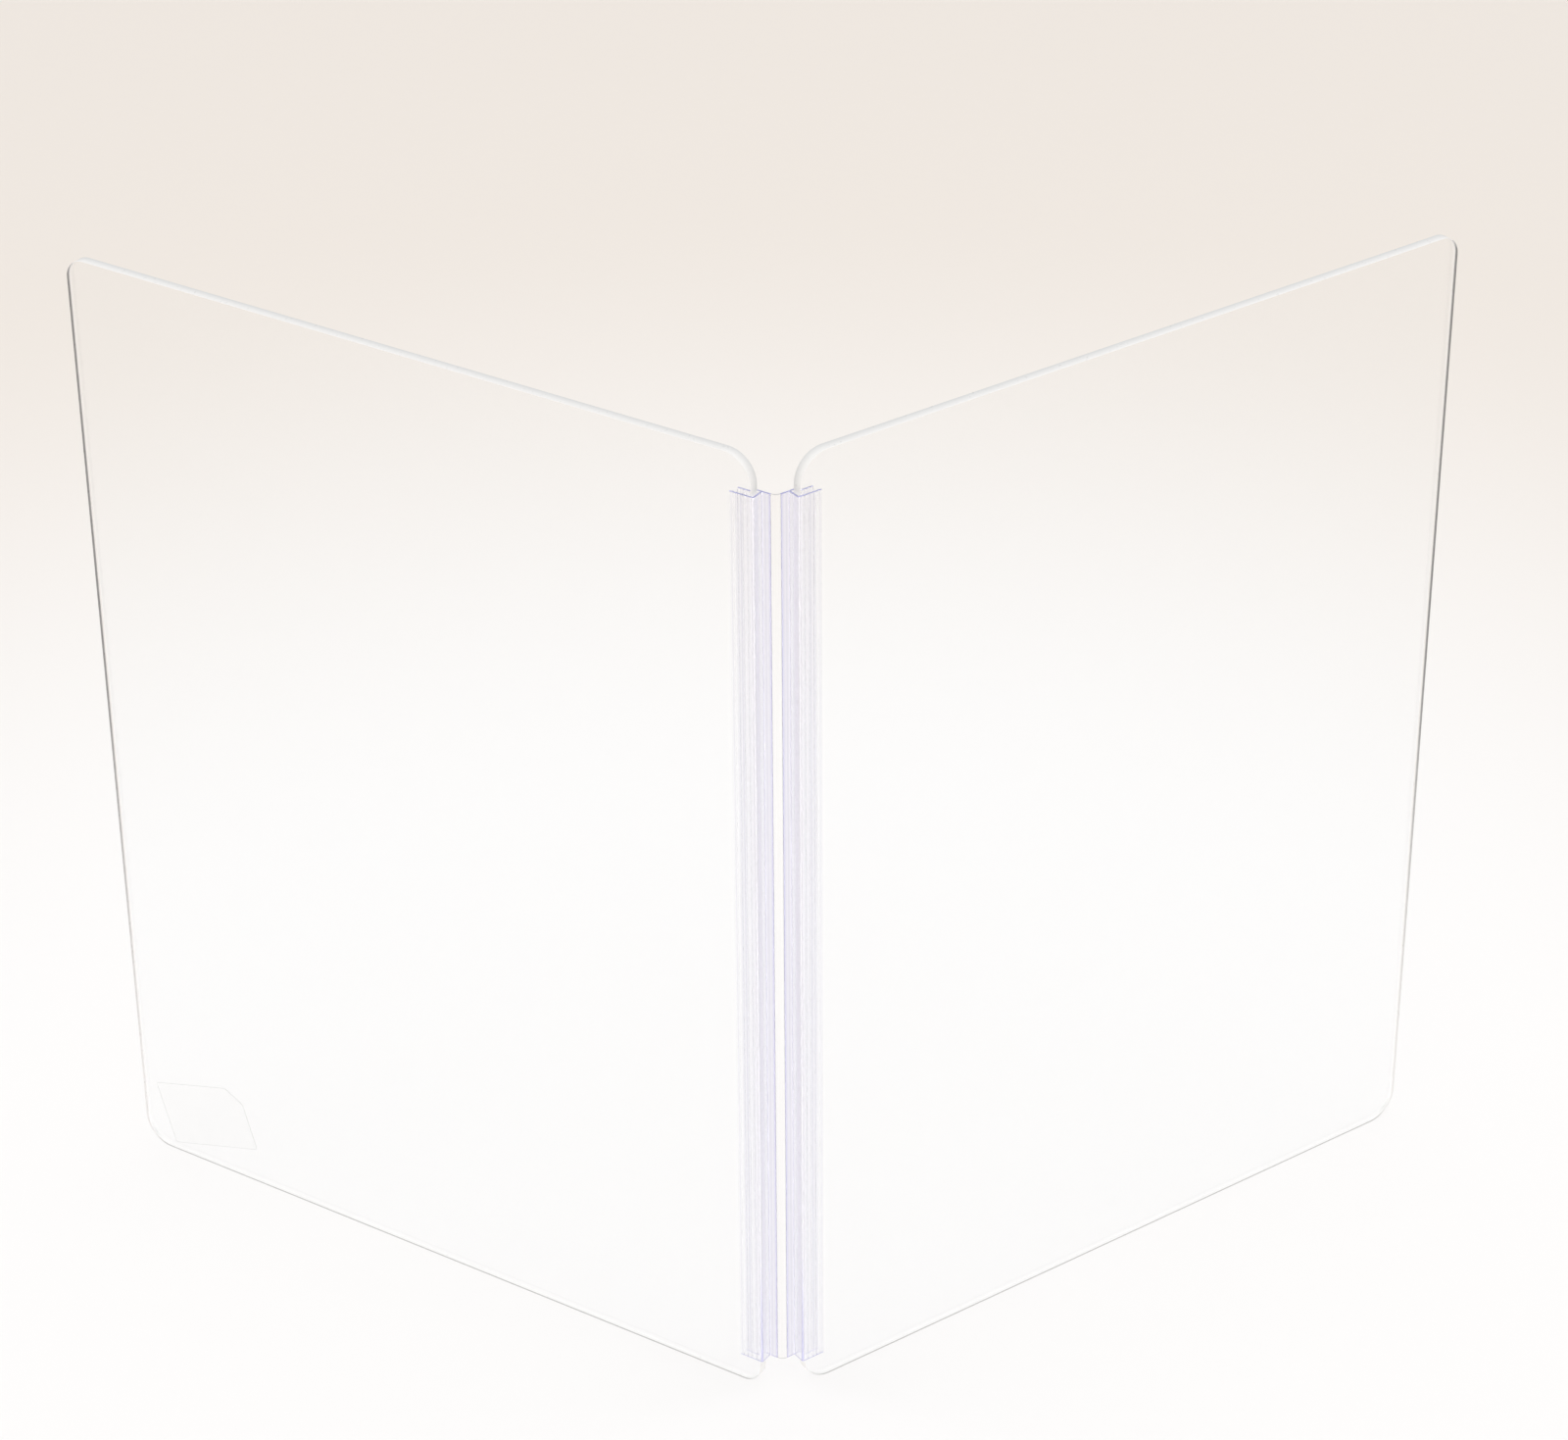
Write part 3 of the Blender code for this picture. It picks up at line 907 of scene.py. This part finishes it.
class SHIELD_OT_channels(bpy.types.Operator):
    """Make the hinge's two rigid channels, which grip the sheets."""

    bl_idname = "shield.make_channels"
    bl_label = "Hinge channels"

    def execute(self, context):
        sizes = context.scene.shield_sizes
        finishes = context.scene.shield_finishes
        clear, thick, fin = (
            finishes.vinyl_clearness, finishes.fold_clearness, finishes.fin_clearness,
        )
        materials = (
            rigid_vinyl_finish("channel_wall", finishes, finishes.vinyl_cloud, clear),
            saw_cut_finish(
                "saw_cut_vinyl", finishes, finishes.cut_tint, finishes.cut_shade,
                finishes.cut_clearness, CUT_PASSES,
            ),
            # The front corners' pale, cloudy finish is a painted highlight
            rigid_vinyl_finish(
                "channel_corner", finishes, finishes.corner_highlight_tint, thick, finishes.fold_foot_tint,
            ),
            rigid_vinyl_finish("channel_fin", finishes, finishes.fin_tint, fin),
            rigid_vinyl_finish("fin_root", finishes, finishes.root_tint, thick),
            rigid_vinyl_finish("channel_bridge", finishes, finishes.bridge_tint, clear),
        )
        for side in SIDES:
            node = side + "_hinge_channel"
            shape = merged_copy(node)
            ease_cut_ends(shape, sizes.cut_ease)
            self.mark_zones(shape, leaf_axes(side).inverted())
            channel = new_piece(side + "_channel_extrusion", shape, materials)
            shade(channel, sharp_degrees=25.0)
            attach(channel, side + "_leaf")
            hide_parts(node)
        return {"FINISHED"}

    def mark_zones(self, shape, into):
        """Store how far from the web each point lies, and give the cut ends, the rounded corners,
        the bridge between them and the fin their own finish."""
        turn = into.to_3x3()
        from_web = shape.verts.layers.float.new("from_web")
        for vertex in shape.verts:
            vertex[from_web] = abs((into @ vertex.co).x)
        nearest = min(vertex[from_web] for vertex in shape.verts)
        for vertex in shape.verts:
            vertex[from_web] -= nearest
        bridge = max(
            (face for face in shape.faces if self.faces_web(face, into, turn)),
            key=lambda face: face.calc_area(),
        )
        bridge_at = abs((into @ bridge.calc_center_median()).x)
        least, most = CORNER_LEAN
        for face in shape.faces:
            from_fold = abs((into @ face.calc_center_median()).x)
            lean = abs((turn @ face.normal).x)
            if abs(face.normal.z) > CUT_END or from_fold < nearest + TINY:
                face.material_index = CUT
            elif face == bridge:
                face.material_index = BRIDGE
            elif least < lean < most and from_fold < bridge_at + CORNER_REACH:
                face.material_index = CORNER if from_fold > bridge_at else ROOT
            elif from_fold < bridge_at:
                face.material_index = FIN
            else:
                face.material_index = WALL

    def faces_web(self, face, into, turn):
        """True for a face across the section that looks towards the web."""
        inwards = (turn @ face.normal).x * (into @ face.calc_center_median()).x
        return inwards < 0.0 and abs((turn @ face.normal).x) > ALONG


class SHIELD_OT_web(bpy.types.Operator):
    """Make the hinge's soft web, in two halves that bend with their own leaf."""

    bl_idname = "shield.make_web"
    bl_label = "Hinge web"

    def execute(self, context):
        sizes = context.scene.shield_sizes
        finishes = context.scene.shield_finishes
        materials = (
            web_finish(finishes),
            joined_face_finish(),
            saw_cut_finish(
                "saw_cut_web", finishes, finishes.web_cut_tint, finishes.web_cut_shade,
                finishes.web_cut_clearness, WEB_PASSES,
            ),
        )
        low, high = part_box("hinge_web")
        for side in SIDES:
            self.make_half(side, low, high, sizes.web_steps, materials)
        return {"FINISHED"}

    def make_half(self, side, low, high, steps, materials):
        """One half: the web's section at its mid line, spun round to its leaf's fin."""
        web = frame["nodes"]["hinge_web"]
        middle = [v.co for v in web.data.vertices if abs(v.co.x) < MIDLINE_REACH]
        front = min(spot.y for spot in middle)
        rear = max(spot.y for spot in middle)
        axes = leaf_axes(side)
        across = axes.col[0].to_3d()
        turn = math.atan2(across.y, across.x)
        fold = joint_named(side + "_leaf_fold")["pos_m"]
        radius = abs(fold[0]) / math.tan(abs(turn) / 2.0)
        centre = Vector((0.0, (front + rear) / 2.0 + radius, 0.0))
        shape = bmesh.new()
        corners = [
            shape.verts.new((0.0, front, low.z)),
            shape.verts.new((0.0, rear, low.z)),
            shape.verts.new((0.0, rear, high.z)),
            shape.verts.new((0.0, front, high.z)),
        ]
        start = shape.faces.new(corners)
        bmesh.ops.spin(
            shape, geom=[start, *start.edges, *corners], cent=centre, axis=(0.0, 0.0, 1.0),
            angle=turn, steps=steps, use_merge=False,
        )
        bmesh.ops.remove_doubles(shape, verts=shape.verts[:], dist=TINY)
        bmesh.ops.recalc_face_normals(shape, faces=shape.faces[:])
        for face in shape.faces:
            if abs(face.normal.z) > ALONG:
                face.material_index = WEB_CUT
            elif abs(face.calc_center_median().x) < TINY:
                face.material_index = WEB_JOINED
            else:
                face.material_index = WEB
        half = new_piece("web_" + side + "_half", shape, materials)
        shade(half, sharp_degrees=40.0)
        end = centre + Matrix.Rotation(turn, 3, "Z") @ Vector((0.0, -radius, 0.0))
        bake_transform(half, side + "_leaf", "web", start=end, end=(0.0, end.y, 0.0))
        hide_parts("hinge_web")


class SHIELD_OT_label(bpy.types.Operator):
    """Give the blank clear label film its finish."""

    bl_idname = "shield.finish_label"
    bl_label = "Label film"

    def execute(self, context):
        film = frame["nodes"]["label_film"]
        film.data.materials.clear()
        outwards = leaf_axes("left").col[1].to_3d()
        film.data.materials.append(label_finish(context.scene.shield_finishes, outwards))
        return {"FINISHED"}


# Stage


def add_light(name, kind, energy, place, colour):
    """A light at a place, aimed at the shield's middle; its data is given back to be sized."""
    data = bpy.data.lights.new(name, kind)
    data.energy = energy
    data.color = colour
    light = bpy.data.objects.new(name, data)
    light.location = place
    light.rotation_euler = (LIGHT_AIM - Vector(place)).to_track_quat("-Z", "Y").to_euler()
    bpy.context.scene.collection.objects.link(light)
    return data


class SHIELD_OT_stage(bpy.types.Operator):
    """Make the pale floor, the soft studio light and the camera."""

    bl_idname = "shield.make_stage"
    bl_label = "Floor, light and camera"

    def execute(self, context):
        stage = context.scene.shield_stage
        self.make_floor(stage)
        self.make_light(context.scene, stage)
        self.make_camera(context.scene, stage)
        return {"FINISHED"}

    def make_floor(self, stage):
        shape = bmesh.new()
        bmesh.ops.create_circle(
            shape, cap_ends=True, cap_tris=False, segments=128, radius=stage.floor_radius,
            matrix=Matrix.Translation((0.0, 0.0, -FLOOR_GAP)),
        )
        floor = new_piece("studio_floor", shape, [floor_finish(stage)])

    def make_light(self, scene, stage):
        self.make_surroundings(scene, stage)
        top = add_light("soft_top_light", "AREA", stage.top_power, **TOP_LIGHT)
        top.shape = "SQUARE"
        top.size = TOP_LIGHT_WIDTH
        # From afar, so that the whole floor is as bright in front of the shield as behind it
        for name, strength, light in (
            ("soft_left_light", stage.side_strength, LEFT_LIGHT),
            ("soft_front_light", stage.front_strength, FRONT_LIGHT),
            ("soft_right_light", stage.side_strength, RIGHT_LIGHT),
        ):
            far = add_light(name, "SUN", strength, **light)
            far.angle = stage.far_light_width

    def make_surroundings(self, scene, stage):
        world = bpy.data.worlds.new("soft_surroundings")
        world.use_nodes = True
        scene.world = world
        nodes = world.node_tree.nodes
        links = world.node_tree.links
        nodes.clear()
        way = nodes.new("ShaderNodeTexCoord")
        split = nodes.new("ShaderNodeSeparateXYZ")
        height = nodes.new("ShaderNodeMapRange")
        height.inputs["From Max"].default_value = OVERHEAD
        tone = nodes.new("ShaderNodeMix")
        tone.data_type = "RGBA"
        tone.inputs["A"].default_value = (*stage.horizon_colour, 1.0)
        tone.inputs["B"].default_value = (*stage.zenith_colour, 1.0)
        glow = nodes.new("ShaderNodeBackground")
        output = nodes.new("ShaderNodeOutputWorld")
        links.new(way.outputs["Generated"], split.inputs["Vector"])
        links.new(split.outputs["Z"], height.inputs["Value"])
        links.new(height.outputs["Result"], tone.inputs["Factor"])
        links.new(tone.outputs["Result"], glow.inputs["Color"])
        links.new(glow.outputs["Background"], output.inputs["Surface"])

    def make_camera(self, scene, stage):
        data = bpy.data.cameras.new("studio_camera")
        data.sensor_width = 36.0
        data.lens = stage.focal_length
        camera = bpy.data.objects.new("studio_camera", data)
        camera.matrix_world = (
            Matrix.Translation(stage.camera_place)
            @ Matrix.Rotation(-stage.camera_yaw, 4, "Z")
            @ Matrix.Rotation(math.pi / 2.0 - stage.camera_pitch, 4, "X")
            @ Matrix.Rotation(stage.camera_roll, 4, "Z")
        )
        scene.collection.objects.link(camera)
        scene.camera = camera
        scene.view_settings.view_transform = "Standard"
        scene.cycles.max_bounces = LIGHT_BOUNCES
        scene.cycles.transmission_bounces = LIGHT_BOUNCES
        scene.cycles.glossy_bounces = MIRROR_BOUNCES


class SHIELD_PT_pieces(bpy.types.Panel):
    """Lists the shield's pieces in the sidebar."""

    bl_idname = "SHIELD_PT_pieces"
    bl_label = "Clear Shield"
    bl_space_type = "VIEW_3D"
    bl_region_type = "UI"
    bl_category = "Clear Shield"

    def draw(self, context):
        layout = self.layout
        for group in ("shield_sizes", "shield_finishes", "shield_stage"):
            settings = getattr(context.scene, group)
            box = layout.box()
            for key in settings.bl_rna.properties.keys():
                if key not in ("rna_type", "name"):
                    box.prop(settings, key)
        for operator in OPERATORS:
            layout.operator(operator.bl_idname)


OPERATORS = (
    SHIELD_OT_sheets,
    SHIELD_OT_channels,
    SHIELD_OT_web,
    SHIELD_OT_label,
    SHIELD_OT_stage,
)
GROUPS = (SHIELD_PG_sizes, SHIELD_PG_finishes, SHIELD_PG_stage)


def register():
    for kind in (*GROUPS, *OPERATORS, SHIELD_PT_pieces):
        bpy.utils.register_class(kind)
    pointer = bpy.props.PointerProperty
    bpy.types.Scene.shield_sizes = pointer(type=SHIELD_PG_sizes)
    bpy.types.Scene.shield_finishes = pointer(type=SHIELD_PG_finishes)
    bpy.types.Scene.shield_stage = pointer(type=SHIELD_PG_stage)


def unregister():
    del bpy.types.Scene.shield_stage
    del bpy.types.Scene.shield_finishes
    del bpy.types.Scene.shield_sizes
    for kind in (SHIELD_PT_pieces, *reversed(OPERATORS), *reversed(GROUPS)):
        bpy.utils.unregister_class(kind)


def main():
    register()
    bpy.ops.shield.make_sheets()
    bpy.ops.shield.make_channels()
    bpy.ops.shield.make_web()
    bpy.ops.shield.finish_label()
    bpy.ops.shield.make_stage()


if __name__ == "__main__":
    main()
